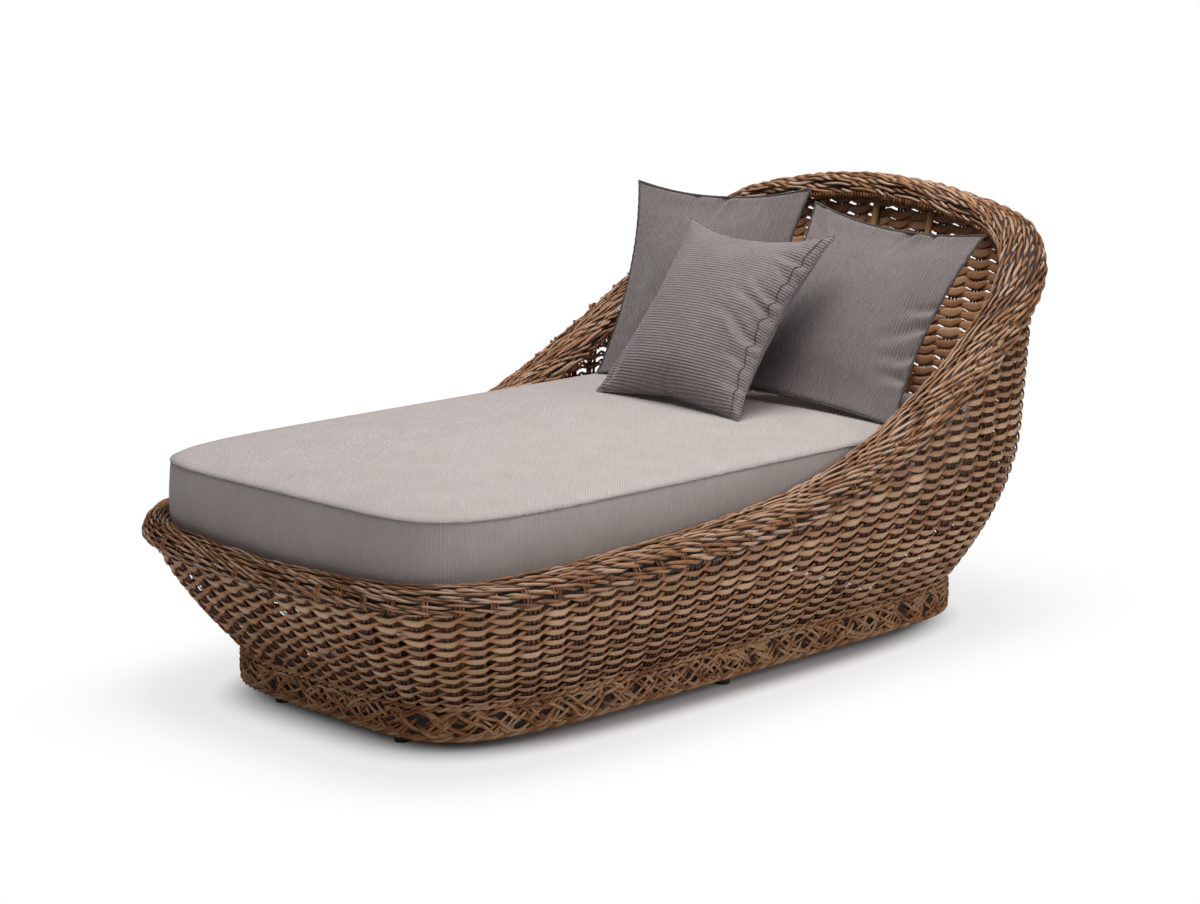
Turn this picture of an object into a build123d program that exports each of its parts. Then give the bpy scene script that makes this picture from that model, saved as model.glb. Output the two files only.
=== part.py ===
import os
from math import atan2, cos, degrees, hypot, radians, sin

from build123d import *

# Rattan sun lounger: a woven tub with a rolled rim and a high back, built round
# a frame of bent hoops and poles, with a boxed mattress and scatter cushions.
# Millimetres. The floor is z = 0, the foot end is at -y and the back at +y.

# Plan of the tub. Each reach is measured from the middle of the part.
rim_half_width = 548
rim_reach = 879
base_half_width = 373
base_foot_reach = 744
base_head_reach = 732

# Roundness powers of the plan corners: 2 is an ellipse, more is squarer
rim_foot_power = 4.8
rim_head_power = 5.6
base_foot_power = 5.4
base_head_power = 8.0
mattress_foot_power = 6.8
mattress_head_power = 8.0

# Heights of the tub
floor_gap = 23
border_height = 65
foot_rim_height = 326
back_rim_height = 906
foot_flare_top = 316
side_flare_top = 443
head_flare_top = 930

# How fast the wall leans out above the border at the foot, sides and head
foot_flare_power = 1.34
side_flare_power = 1.83
head_flare_power = 0.7

# Woven wall and the plaited border under it
wall_thickness = 12
wall_spread = 8
border_thickness = 22
border_round = 9

# Rolled rim, measured from its outer ridge
rim_roll_width = 78
rim_foot_width = 30
rim_crest = 8
rim_lip = 12
rim_lip_drop = 24
rim_depth = 34
rim_round = 4
rim_pole_diameter = 18
pole_sides = 8
rim_pole_inset = 12
rim_pole_drop = 18

# Inner frame of bent hoops and straight poles
base_hoop_width = 38
base_hoop_height = 28
base_hoop_lift = 37
seat_hoop_width = 30
seat_hoop_height = 28
hoop_clearance = 8
post_diameter = 24
stay_diameter = 16
stay_clearance = 3
stretcher_width = 34
rail_width = 40
rail_height = 40
centre_post_diameter = 30

# Slatted deck
deck_height = 301
slat_thickness = 18
slat_width = 95
slat_count = 10
slat_end_clearance = 8

# Turned feet, each with a stem that stands in a hole of the base hoop
foot_diameter = 36
foot_base_diameter = 28
foot_stem_diameter = 14
foot_stem_height = 16

# Mattress, with its gaps to the rolled rim and to the back stays
mattress_side_gap = 15
mattress_foot_gap = 13
mattress_head_gap = 1.6229
mattress_seam_height = 460
mattress_crown = 17
mattress_bulge = 5
mattress_tuck = 12

# Scatter cushions, two of which fill the width of the mattress side by side
cushion_side_gap = 5
cushion_thickness = 128
cushion_draw_in = 15
# How far the inner side of each back cushion, and the middle of the front one, lies
# to the right of the part's middle
cushion_left_inner = 13
cushion_right_inner = 1
cushion_front_middle = -4
# How far in front of the rim's back the upper edge of each leans, as fitted to the photo
cushion_left_ahead = 285.2815
cushion_right_ahead = 256.5586
cushion_front_ahead = 421.4762
# How high the lowest corner of each rests above the mattress seam
cushion_left_rise = 14.7309
cushion_right_rise = 11.5161
cushion_front_rise = 18.1447

# Gaps between pieces that seat on each other, and between the wall and the roll
fit_gap = 0.3
roll_gap = 0.9

# Stations round the right half of the rim, from the middle of the foot to the
# middle of the back: plan angle, share of the rise, share of the roll's width
rim_station_shares = (
    (-90, 0.0, 0.0),
    (-75, 0.011, 0.0),
    (-60, 0.022, 0.0),
    (-52.5, 0.029, 0.05),
    (-45, 0.037, 0.35),
    (-37.5, 0.046, 0.75),
    (-30, 0.056, 1.0),
    (-15, 0.077, 1.0),
    (0, 0.119, 1.0),
    (10, 0.178, 1.0),
    (20, 0.292, 1.0),
    (30, 0.465, 1.0),
    (37.5, 0.63, 1.0),
    (45, 0.788, 1.0),
    (52.5, 0.888, 1.0),
    (60, 0.93, 1.0),
    (75, 0.983, 1.0),
    (90, 1.0, 1.0),
)
station_splits = 2
rim_crest_share = 0.7
roll_corners = 3
wall_level_shares = (0.0, 0.1, 0.22, 0.4, 0.65, 1.0)
outline_points = 40
crossing_angle = 25
crossing_halvings = 30

# Where the poles and feet stand, as plan angles, and the bars as shares of length
post_angles = (-75, -47, -25, 0, 22, 45, 72)
stay_angles = {"right": 74, "centre": 90, "left": 106}
stay_half_angle = 4
stay_height_shares = (0.0, 0.35, 0.7, 1.0)
foot_angles = {"foot_end": -62, "middle": 0, "head_end": 62}
stretcher_shares = {"foot": -0.62, "middle": 0.0, "head": 0.62}

# Sections of the mattress side: share of its height, of its bulge, of its tuck
mattress_side_shares = ((0.0, 0.0, 1.0), (0.14, 0.6, 0.2), (0.5, 1.0, 0.0), (1.0, 0.0, 0.0))
# Sections of its crown: share of the crown, and inset as a share of half the width
mattress_crown_shares = ((0.0, 0.0), (0.5, 0.03), (0.85, 0.12), (1.0, 0.3))

# Turn, lean and tilt of each cushion in degrees
cushion_angles = {"left": (10, 23.5, 1.5), "right": (4.5, 34.5, -5), "front": (-4.7, 38, 0.7)}

# Sections of a cushion from its seam to its crown: share of half the thickness,
# share of the size and share of the draw-in
cushion_shares = (
    (0.0, 1.0, 1.0),
    (0.24, 0.95, 0.8),
    (0.56, 0.83, 0.6),
    (0.82, 0.65, 0.4),
    (0.97, 0.4, 0.2),
)

os.makedirs("parts", exist_ok=True)

wall_foot = floor_gap + border_height
base_hoop_bottom = floor_gap + base_hoop_lift
base_hoop_top = base_hoop_bottom + base_hoop_height
seat_hoop_top = deck_height - slat_thickness
seat_hoop_bottom = seat_hoop_top - seat_hoop_height
rail_bottom = seat_hoop_top - rail_height


def save(builder, name):
    builder.part.label = name
    export_step(builder.part, "parts/" + name + ".step")


def plan_point(angle, reaches, powers, inset=0):
    # A point of a rounded plan outline, at an angle in degrees from +x
    half_width, foot_reach, head_reach = (reach - inset for reach in reaches)
    across = cos(radians(angle))
    along = sin(radians(angle))
    power = powers[0] if along < 0 else powers[1]
    stretch = (abs(across) ** power + abs(along) ** power) ** (-1 / power)
    half_length = (foot_reach + head_reach) / 2
    middle = (head_reach - foot_reach) / 2
    return Vector(half_width * across * stretch, middle + half_length * along * stretch)


def plan_outline(reaches, powers, inset=0):
    # The whole plan outline as one closed curve
    step = 360 / outline_points
    points = [plan_point(step * turn, reaches, powers, inset) for turn in range(outline_points)]
    return Spline(*points, periodic=True)


def flare(height, top, power):
    # How much of its lean the wall has made at a height, from 0 to 1
    share = min(max((height - wall_foot) / (top - wall_foot), 0), 1)
    return 1 - (1 - share) ** power


def wall_plan(height):
    # Reaches and powers of the wall's outer face at a height
    foot = flare(height, foot_flare_top, foot_flare_power)
    side = flare(height, side_flare_top, side_flare_power)
    head = flare(height, head_flare_top, head_flare_power)
    reaches = (
        base_half_width + (rim_half_width + wall_spread - base_half_width) * side,
        base_foot_reach + (rim_reach + wall_spread - base_foot_reach) * foot,
        base_head_reach + (rim_reach + wall_spread - base_head_reach) * head,
    )
    powers = (
        base_foot_power + (rim_foot_power - base_foot_power) * foot,
        base_head_power + (rim_head_power - base_head_power) * head,
    )
    return reaches, powers


base_plan = wall_plan(wall_foot)
seat_plan = wall_plan(seat_hoop_bottom)
deck_plan = wall_plan(seat_hoop_top)
rim_plan = ((rim_half_width, rim_reach, rim_reach), (rim_foot_power, rim_head_power))


def rim_shares(angle):
    # Shares of the rise and of the roll's width at a plan angle on either side
    turn = min(angle, 180 - angle)
    for before, after in zip(rim_station_shares, rim_station_shares[1:]):
        if before[0] <= turn <= after[0]:
            share = (turn - before[0]) / (after[0] - before[0])
            rise = before[1] + (after[1] - before[1]) * share
            width = before[2] + (after[2] - before[2]) * share
    return rise, width


def rim_height(angle):
    # Height of the rim's ridge at a plan angle
    return foot_rim_height + (back_rim_height - foot_rim_height) * rim_shares(angle)[0]


# Plan angles of the ring sections round the right half of the rim
ring_angles = []
for before, after in zip(rim_station_shares, rim_station_shares[1:]):
    for split in range(station_splits):
        ring_angles.append(before[0] + (after[0] - before[0]) * split / station_splits)
ring_angles.append(rim_station_shares[-1][0])


def rim_point(station):
    angle = ring_angles[station]
    return plan_point(angle, *rim_plan) + Vector(0, 0, rim_height(angle))


def rim_section(station):
    # The upright plane square to the rim there, its steepness and the roll's width
    last = len(ring_angles) - 1
    before = rim_point(max(station - 1, 0))
    after = rim_point(min(station + 1, last))
    if station == 0:
        before = Vector(-after.X, after.Y, after.Z)
    if station == last:
        after = Vector(-before.X, before.Y, before.Z)
    run = hypot(after.X - before.X, after.Y - before.Y)
    heading = Vector((after.X - before.X) / run, (after.Y - before.Y) / run)
    outward = Vector(heading.Y, -heading.X)
    steepness = hypot(1, (after.Z - before.Z) / run)
    share = rim_shares(ring_angles[station])[1]
    width = rim_foot_width + (rim_roll_width - rim_foot_width) * share
    return Plane(origin=rim_point(station), x_dir=outward, z_dir=-heading), steepness, width


def wall_point(plane, height, inset):
    # Where the wall at a height crosses an upright plane square to the rim
    reaches, powers = wall_plan(height)
    angle = degrees(atan2(plane.origin.Y / rim_reach, plane.origin.X / rim_half_width))
    turn = crossing_angle
    for _ in range(crossing_halvings):
        behind = (plan_point(angle, reaches, powers, inset) - plane.origin).dot(plane.z_dir) > 0
        turn = turn / 2
        angle = angle + (turn if behind else -turn)
    point = plan_point(angle, reaches, powers, inset)
    return (point - plane.origin).dot(plane.x_dir), height - plane.origin.Z


def whole_ring(half):
    # The closed ring made of a lofted half and its mirror image
    sides = [face for face in half.faces() if abs(face.center().X) > fit_gap]
    return Solid(Shell(sides + [face.mirror(Plane.YZ) for face in sides]))


stations = range(len(ring_angles))

# Woven wall: one skin that stands on the border and ends under the rolled rim
with BuildPart() as wall_half:
    for station in stations:
        plane, steepness, width = rim_section(station)
        foot = wall_foot + fit_gap
        top = plane.origin.Z - rim_depth * steepness - roll_gap
        levels = [foot + (top - foot) * share for share in wall_level_shares]
        outer = [wall_point(plane, level, 0) for level in levels]
        inner = [wall_point(plane, level, wall_thickness) for level in reversed(levels)]
        with BuildSketch(plane):
            with BuildLine():
                Polyline(*outer, *inner, close=True)
            make_face()
    loft(ruled=True, clean=False)

with BuildPart() as woven_wall:
    add(whole_ring(wall_half.part), clean=False)
save(woven_wall, "woven_wall")

# The pole that the rim is rolled round, bent to the same line
with BuildPart() as pole_half:
    for station in stations:
        plane, steepness, width = rim_section(station)
        with BuildSketch(plane):
            with Locations((-rim_pole_inset, -rim_pole_drop * steepness)):
                RegularPolygon(rim_pole_diameter / 2, pole_sides, major_radius=False)
    loft(ruled=True, clean=False)

with BuildPart() as rim_pole:
    add(whole_ring(pole_half.part), clean=False)
save(rim_pole, "rim_pole")

# Rolled rim: a broad band that rises along the sides into the high back
with BuildPart() as roll_half:
    for station in stations:
        plane, steepness, width = rim_section(station)
        with BuildSketch(plane):
            with BuildLine():
                Polyline(
                    (rim_lip, -rim_depth * steepness),
                    (rim_lip, -rim_lip_drop * steepness),
                    (0, 0),
                    (-width * rim_crest_share, rim_crest),
                    (-width, 0),
                    (-width, -rim_depth * steepness),
                    close=True,
                )
            make_face()
            chamfer(vertices().sort_by(Axis.Y)[-roll_corners:], length=rim_round)
    loft(ruled=True, clean=False)

with BuildPart() as rim_roll:
    add(whole_ring(roll_half.part), clean=False)
    add(rim_pole.part, mode=Mode.SUBTRACT, clean=False)
save(rim_roll, "rim_roll")

# Plaited border round the bottom of the wall
with BuildPart() as bottom_border:
    with BuildSketch(Plane.XY.offset(floor_gap)):
        with BuildLine():
            plan_outline(*base_plan)
        make_face()
        with BuildLine():
            plan_outline(*base_plan, border_thickness)
        make_face(mode=Mode.SUBTRACT)
    extrude(amount=border_height)
    bottom = faces().sort_by(Axis.Z)[0]
    chamfer(bottom.outer_wire().edges(), length=border_round)
save(bottom_border, "bottom_border")

# Base hoop inside the border, with a hole over each foot
hoop_inset = border_thickness + fit_gap
foot_inset = hoop_inset + base_hoop_width / 2
foot_places = {}
for name, angle in foot_angles.items():
    foot_places["right_" + name] = plan_point(angle, *base_plan, foot_inset)
    foot_places["left_" + name] = plan_point(180 - angle, *base_plan, foot_inset)

with BuildPart() as base_hoop:
    with BuildSketch(Plane.XY.offset(base_hoop_bottom)):
        with BuildLine():
            plan_outline(*base_plan, hoop_inset)
        make_face()
        with BuildLine():
            plan_outline(*base_plan, hoop_inset + base_hoop_width)
        make_face(mode=Mode.SUBTRACT)
    extrude(amount=base_hoop_height)
    with BuildSketch(Plane.XY.offset(base_hoop_bottom)):
        with Locations(*foot_places.values()):
            Circle(foot_stem_diameter / 2 + fit_gap)
    extrude(amount=foot_stem_height + fit_gap, mode=Mode.SUBTRACT)
save(base_hoop, "base_hoop")

# Turned feet
for name, place in foot_places.items():
    with BuildPart() as foot:
        with BuildSketch(Plane.XZ.offset(-place.Y)):
            with BuildLine():
                Polyline(
                    (place.X, 0),
                    (place.X + foot_base_diameter / 2, 0),
                    (place.X + foot_diameter / 2, base_hoop_bottom),
                    (place.X + foot_stem_diameter / 2, base_hoop_bottom),
                    (place.X + foot_stem_diameter / 2, base_hoop_bottom + foot_stem_height),
                    (place.X, base_hoop_bottom + foot_stem_height),
                    close=True,
                )
            make_face()
        revolve(axis=Axis((place.X, place.Y, 0), (0, 0, 1)))
    save(foot, "foot_" + name)

# Seat hoop inside the wall, under the ends of the slats
seat_hoop_inset = wall_thickness + hoop_clearance
with BuildPart() as seat_hoop:
    with BuildSketch(Plane.XY.offset(seat_hoop_bottom)):
        with BuildLine():
            plan_outline(*seat_plan, seat_hoop_inset)
        make_face()
        with BuildLine():
            plan_outline(*seat_plan, seat_hoop_inset + seat_hoop_width)
        make_face(mode=Mode.SUBTRACT)
    extrude(amount=seat_hoop_height)
save(seat_hoop, "seat_hoop")

# Posts that lean out between the two hoops, along the inside of the wall
for number, angle in enumerate(post_angles, 1):
    for side, turn in (("right", angle), ("left", 180 - angle)):
        with BuildPart() as post:
            with BuildSketch(Plane.XY.offset(base_hoop_top)):
                with Locations(plan_point(turn, *base_plan, foot_inset)):
                    Circle(post_diameter / 2)
            with BuildSketch(Plane.XY.offset(seat_hoop_bottom)):
                with Locations(plan_point(turn, *seat_plan, seat_hoop_inset + seat_hoop_width / 2)):
                    Circle(post_diameter / 2)
            loft()
        save(post, "post_" + side + "_" + str(number))

# Stays that carry the high back, bent to the inside of the wall
stay_inset = wall_thickness + stay_clearance + stay_diameter / 2
for side, angle in stay_angles.items():
    rim_beside = min(rim_height(angle - stay_half_angle), rim_height(angle + stay_half_angle))
    stay_top = rim_beside - rim_depth - hoop_clearance
    with BuildPart() as stay:
        for share in stay_height_shares:
            height = seat_hoop_top + (stay_top - seat_hoop_top) * share
            with BuildSketch(Plane.XY.offset(height)):
                with Locations(plan_point(angle, *wall_plan(height), stay_inset)):
                    Circle(stay_diameter / 2)
        loft(ruled=True)
    save(stay, "back_stay_" + side)

# Stretchers across the base hoop, each with a post up to the centre rail
inner_inset = hoop_inset + base_hoop_width + fit_gap
for name, share in stretcher_shares.items():
    place = base_foot_reach * share
    with BuildPart() as stretcher:
        with BuildSketch(Plane.XY.offset(base_hoop_bottom)):
            with BuildLine():
                plan_outline(*base_plan, inner_inset)
            make_face()
            with Locations((0, place)):
                Rectangle(base_half_width * 2, stretcher_width, mode=Mode.INTERSECT)
        extrude(amount=base_hoop_height)
    save(stretcher, "stretcher_" + name)
    with BuildPart() as centre_post:
        with BuildSketch(Plane.XY.offset(base_hoop_top)):
            with Locations((0, place)):
                Circle(centre_post_diameter / 2)
        extrude(amount=rail_bottom - base_hoop_top)
    save(centre_post, "centre_post_" + name)

# Centre rail under the slats, between the two ends of the seat hoop
with BuildPart() as centre_rail:
    with BuildSketch(Plane.XY.offset(rail_bottom)):
        with BuildLine():
            plan_outline(*seat_plan, seat_hoop_inset + seat_hoop_width + fit_gap)
        make_face()
        Rectangle(rail_width, rim_reach * 2, mode=Mode.INTERSECT)
    extrude(amount=rail_height)
save(centre_rail, "centre_rail")

# Deck slats, spread evenly from the foot of the rim to the back stays
deck_foot = rim_reach - rim_foot_width - slat_end_clearance
deck_head = deck_plan[0][2] - stay_inset - stay_diameter / 2 - slat_end_clearance
slat_pitch = (deck_foot + deck_head - slat_width) / (slat_count - 1)
for number in range(slat_count):
    place = -deck_foot + slat_width / 2 + slat_pitch * number
    with BuildPart() as slat:
        with BuildSketch(Plane.XY.offset(seat_hoop_top)):
            with BuildLine():
                plan_outline(*deck_plan, wall_thickness + slat_end_clearance)
            make_face()
            with Locations((0, place)):
                Rectangle(rim_half_width * 2, slat_width, mode=Mode.INTERSECT)
        extrude(amount=slat_thickness)
    save(slat, "deck_slat_" + str(number + 1))

# Mattress: boxed sides that bulge a little, a seam, then a low crown
mattress_bottom = deck_height + fit_gap
wall_head_reach = wall_plan(deck_height)[0][2]
mattress_half_width = rim_half_width - rim_roll_width - mattress_side_gap
mattress_foot_reach = rim_reach - rim_foot_width - mattress_foot_gap
mattress_head_reach = wall_head_reach - stay_inset - stay_diameter / 2 - mattress_head_gap
mattress_plan = (
    (mattress_half_width, mattress_foot_reach, mattress_head_reach),
    (mattress_foot_power, mattress_head_power),
)
mattress_side = mattress_seam_height - mattress_bottom
with BuildPart() as mattress:
    for height, bulge, tuck in mattress_side_shares:
        with BuildSketch(Plane.XY.offset(mattress_bottom + mattress_side * height)):
            with BuildLine():
                plan_outline(*mattress_plan, mattress_tuck * tuck - mattress_bulge * bulge)
            make_face()
    loft()
    for height, inset in mattress_crown_shares:
        with BuildSketch(Plane.XY.offset(mattress_seam_height + mattress_crown * height)):
            with BuildLine():
                plan_outline(*mattress_plan, mattress_half_width * inset)
            make_face()
    loft()
save(mattress, "mattress")

# Scatter cushions: square, full in the middle and drawn in along the sides
cushion_size = mattress_half_width - cushion_side_gap
cushion_places = {
    "left": (cushion_left_inner - cushion_size / 2, cushion_left_ahead, cushion_left_rise),
    "right": (cushion_right_inner + cushion_size / 2, cushion_right_ahead, cushion_right_rise),
    "front": (cushion_front_middle, cushion_front_ahead, cushion_front_rise),
}
for name, (beside, ahead, rise) in cushion_places.items():
    turn, lean, tilt = cushion_angles[name]
    across = Vector(cos(radians(turn)), sin(radians(turn)))
    behind = Vector(-across.Y, across.X)
    upward = Vector(0, 0, cos(radians(lean))) + behind * sin(radians(lean))
    along = across * cos(radians(tilt)) + upward * sin(radians(tilt))
    level = Plane(origin=(0, 0, 0), x_dir=along, z_dir=across.cross(upward))
    corner_drop = cushion_size / 2 * (abs(level.x_dir.Z) + abs(level.y_dir.Z))
    level.origin = Vector(
        beside,
        rim_reach - ahead - cushion_size / 2 * sin(radians(lean)),
        mattress_seam_height + rise + corner_drop,
    )
    with BuildPart() as cushion:
        for side in (1, -1):
            for depth, size, draw in cushion_shares:
                corner = cushion_size / 2 * size
                middle = corner - cushion_draw_in * draw
                with BuildSketch(level.offset(cushion_thickness / 2 * depth * side)):
                    with BuildLine():
                        ThreePointArc((-corner, -corner), (0, -middle), (corner, -corner))
                        ThreePointArc((corner, -corner), (middle, 0), (corner, corner))
                        ThreePointArc((corner, corner), (0, middle), (-corner, corner))
                        ThreePointArc((-corner, corner), (-middle, 0), (-corner, -corner))
                    make_face()
            loft()
    save(cushion, "cushion_" + name)
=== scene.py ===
import math

import bmesh
import bpy
import numpy as np
from mathutils import Matrix, Vector


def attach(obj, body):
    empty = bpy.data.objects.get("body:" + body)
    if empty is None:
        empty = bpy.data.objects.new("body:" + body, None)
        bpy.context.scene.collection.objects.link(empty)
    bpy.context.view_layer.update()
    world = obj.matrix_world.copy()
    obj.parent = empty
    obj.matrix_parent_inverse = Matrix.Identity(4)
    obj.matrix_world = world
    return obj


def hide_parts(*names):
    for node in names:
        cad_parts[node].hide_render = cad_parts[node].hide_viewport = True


# Rattan sun lounger. Metres; the floor is z = 0, the foot end is at -y.
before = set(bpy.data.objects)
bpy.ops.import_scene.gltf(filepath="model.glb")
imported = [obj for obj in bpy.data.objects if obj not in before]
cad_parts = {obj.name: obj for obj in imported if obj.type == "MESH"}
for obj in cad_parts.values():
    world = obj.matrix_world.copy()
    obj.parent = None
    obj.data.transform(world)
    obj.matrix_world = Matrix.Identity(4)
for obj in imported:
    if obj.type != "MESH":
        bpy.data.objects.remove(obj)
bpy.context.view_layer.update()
print("frame loaded")

# The same rim line and wall as the solids have
tub = {
    "rimHalf": (0.548, 0.879), "rimPowers": (4.8, 5.6), "rimHeights": (0.326, 0.906),
    "rollWidths": (0.030, 0.078), "rollDepth": 0.034, "wallSpread": 0.008,
    "baseReaches": (0.373, 0.744, 0.732), "basePowers": (5.4, 8.0), "wallFoot": 0.088,
    "flareTops": (0.443, 0.316, 0.930), "flarePowers": (1.83, 1.34, 0.7),
    "stationAngles": (-90, -75, -60, -52.5, -45, -37.5, -30, -15, 0, 10, 20, 30, 37.5, 45,
                      52.5, 60, 75, 90),
    "riseShares": (0, .011, .022, .029, .037, .046, .056, .077, .119, .178, .292, .465,
                   .63, .788, .888, .93, .983, 1),
    "widthShares": (0, 0, 0, .05, .35, .75, 1, 1, 1, 1, 1, 1, 1, 1, 1, 1, 1, 1),
    "smoothing": 3.0,  # degrees over which the rim's corners are rounded off
}


def planPoint(angle, reaches, powers, inset=0.0):
    # Points of a rounded plan outline at angles in degrees, arrays allowed
    half, foot, head = (np.asarray(reach) - inset for reach in reaches)
    across, along = np.cos(np.radians(angle)), np.sin(np.radians(angle))
    power = np.where(along < 0, powers[0], powers[1])
    stretch = (np.abs(across) ** power + np.abs(along) ** power) ** (-1 / power)
    middle = (head - foot) / 2
    return half * across * stretch, middle + (foot + head) / 2 * along * stretch


def rimShares(angle, table):
    # A share from the station table, the same on both sides, lightly smoothed
    total = 0
    for step in np.linspace(-1, 1, 7):
        turned = np.asarray(angle) + step * tub["smoothing"]
        folded = np.degrees(np.arcsin(np.clip(np.sin(np.radians(turned)), -1, 1)))
        total = total + np.interp(folded, tub["stationAngles"], tub[table])
    return total / 7


def rimHeight(angle):
    low, high = tub["rimHeights"]
    return low + (high - low) * rimShares(angle, "riseShares")


def rollWidth(angle):
    low, high = tub["rollWidths"]
    return low + (high - low) * rimShares(angle, "widthShares")


def wallPlan(height):
    shares = []
    for top, power in zip(tub["flareTops"], tub["flarePowers"]):
        share = np.clip((height - tub["wallFoot"]) / (top - tub["wallFoot"]), 0, 1)
        shares.append(1 - (1 - share) ** power)
    half, foot, head = tub["baseReaches"]
    spread = tub["wallSpread"]
    reaches = (half + (tub["rimHalf"][0] + spread - half) * shares[0],
               foot + (tub["rimHalf"][1] + spread - foot) * shares[1],
               head + (tub["rimHalf"][1] + spread - head) * shares[2])
    powers = (tub["basePowers"][0] + (tub["rimPowers"][0] - tub["basePowers"][0]) * shares[1],
              tub["basePowers"][1] + (tub["rimPowers"][1] - tub["basePowers"][1]) * shares[2])
    return reaches, powers


def wallPoint(angle, height, inset=0.0):
    x, y = planPoint(angle, *wallPlan(height), inset)
    return np.stack([x, y, height + 0 * x], axis=-1)


def rimPoint(angle):
    half, reach = tub["rimHalf"]
    x, y = planPoint(angle, (half, reach, reach), tub["rimPowers"])
    return np.stack([x, y, rimHeight(angle)], axis=-1)


def evenAngles(count, pathAt):
    # Plan angles that stand evenly along a closed path, starting at the foot
    fine = np.linspace(-90, 270, 4001)
    points = pathAt(fine)
    steps = np.linalg.norm(np.diff(points, axis=0), axis=1)
    along = np.concatenate([[0], np.cumsum(steps)])
    return np.interp(np.linspace(0, along[-1], count + 1), along, fine), along[-1]


def unit(vectors):
    return vectors / np.maximum(np.linalg.norm(vectors, axis=-1, keepdims=True), 1e-12)


def rimFrame(angle):
    # Rim points with the heading, the outward way and the steepness there
    step = 0.5
    ahead = rimPoint(angle + step) - rimPoint(angle - step)
    heading = ahead * np.array([1, 1, 0])
    steepness = np.linalg.norm(ahead, axis=-1) / np.linalg.norm(heading, axis=-1)
    heading = unit(heading)
    outward = np.stack([heading[..., 1], -heading[..., 0], 0 * steepness], axis=-1)
    return rimPoint(angle), unit(ahead), outward, steepness


def newPiece(name, vertices, faces, material, body):
    mesh = bpy.data.meshes.new(name)
    mesh.from_pydata([tuple(v) for v in vertices], [], [tuple(f) for f in faces])
    shell = bmesh.new()
    shell.from_mesh(mesh)
    bmesh.ops.recalc_face_normals(shell, faces=shell.faces)
    shell.to_mesh(mesh)
    shell.free()
    mesh.polygons.foreach_set("use_smooth", [True] * len(mesh.polygons))
    piece = bpy.data.objects.new(name, mesh)
    bpy.context.collection.objects.link(piece)
    mesh.materials.append(material)
    if body:
        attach(piece, body)
    return piece


def paint(piece, attribute, values):
    # A number for each point, read by a material
    layer = piece.data.attributes.new(attribute, "FLOAT", "POINT")
    layer.data.foreach_set("value", np.asarray(values, dtype=np.float32).ravel())


def paintStrands(piece, corners, across, **rings):
    # Numbers for each ring of the strands, and one series for the corners of every ring
    for attribute, values in rings.items():
        paint(piece, attribute, np.repeat(values, corners))
    paint(piece, "across", np.tile(across, len(piece.data.vertices) // corners))


def sweepStrips(paths, sides, ups, halfWidths, halfThick, corners, closed):
    # Flat strands: a lens of a few corners carried along paths of equal length.
    # paths, sides (outward) and ups are (strips, points, 3); widths are (strips, points)
    strips, points = paths.shape[:2]
    turn = np.linspace(0, 2 * math.pi, corners, endpoint=False)
    wide = np.cos(turn)[None, None, :, None] * halfWidths[:, :, None, None]
    thick = np.sin(turn)[None, None, :, None] * halfThick
    rings = paths[:, :, None] + ups[:, :, None] * wide + sides[:, :, None] * thick
    vertices = rings.reshape(-1, 3)
    index = np.arange(strips * points * corners).reshape(strips, points, corners)
    here, after = (index, np.roll(index, -1, 1)) if closed else (index[:, :-1], index[:, 1:])
    quads = np.stack([here, np.roll(here, -1, 2), np.roll(after, -1, 2), after], -1)
    faces = quads.reshape(-1, 4).tolist()
    if not closed:
        faces += index[:, 0, ::-1].tolist() + index[:, -1].tolist()
    return vertices, faces


def linear(hexColour):
    values = [int(hexColour[place:place + 2], 16) / 255 for place in (1, 3, 5)]
    return [v / 12.92 if v <= 0.04045 else ((v + 0.055) / 1.055) ** 2.4 for v in values] + [1]


def newMaterial(name, colour, roughness, **settings):
    material = bpy.data.materials.new(name)
    material.use_nodes = True
    shader = material.node_tree.nodes["Principled BSDF"]
    shader.inputs["Base Color"].default_value = linear(colour)
    shader.inputs["Roughness"].default_value = roughness
    for socket, value in settings.items():
        shader.inputs[socket.replace("_", " ")].default_value = value
    return material, shader


def addNode(owner, kind, inputs=None, links=None, **settings):
    # One node with its settings, its fixed inputs and what feeds its inputs
    tree = getattr(owner, "node_tree", owner)
    node = tree.nodes.new(kind)
    for setting, value in settings.items():
        setattr(node, setting, value)
    for socket, value in (inputs or {}).items():
        node.inputs[socket].default_value = value
    for socket, source in (links or {}).items():
        tree.links.new(source, node.inputs[socket])
    return node


def colourRamp(material, factor, stops):
    node = addNode(material, "ShaderNodeValToRGB", links={"Fac": factor})
    ramp = node.color_ramp
    ramp.elements[0].position, ramp.elements[-1].position = stops[0][0], stops[-1][0]
    ramp.elements[0].color, ramp.elements[-1].color = linear(stops[0][1]), linear(stops[-1][1])
    for place, colour in stops[1:-1]:
        ramp.elements.new(place).color = linear(colour)
    return node.outputs["Color"]


def feed(material, shader, colour=None, height=None, distance=0.001, strength=1.0):
    if colour is not None:
        material.node_tree.links.new(colour, shader.inputs["Base Color"])
    if height is not None:
        bump = addNode(material, "ShaderNodeBump", {"Distance": distance, "Strength": strength},
                       {"Height": height})
        material.node_tree.links.new(bump.outputs["Normal"], shader.inputs["Normal"])


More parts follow.
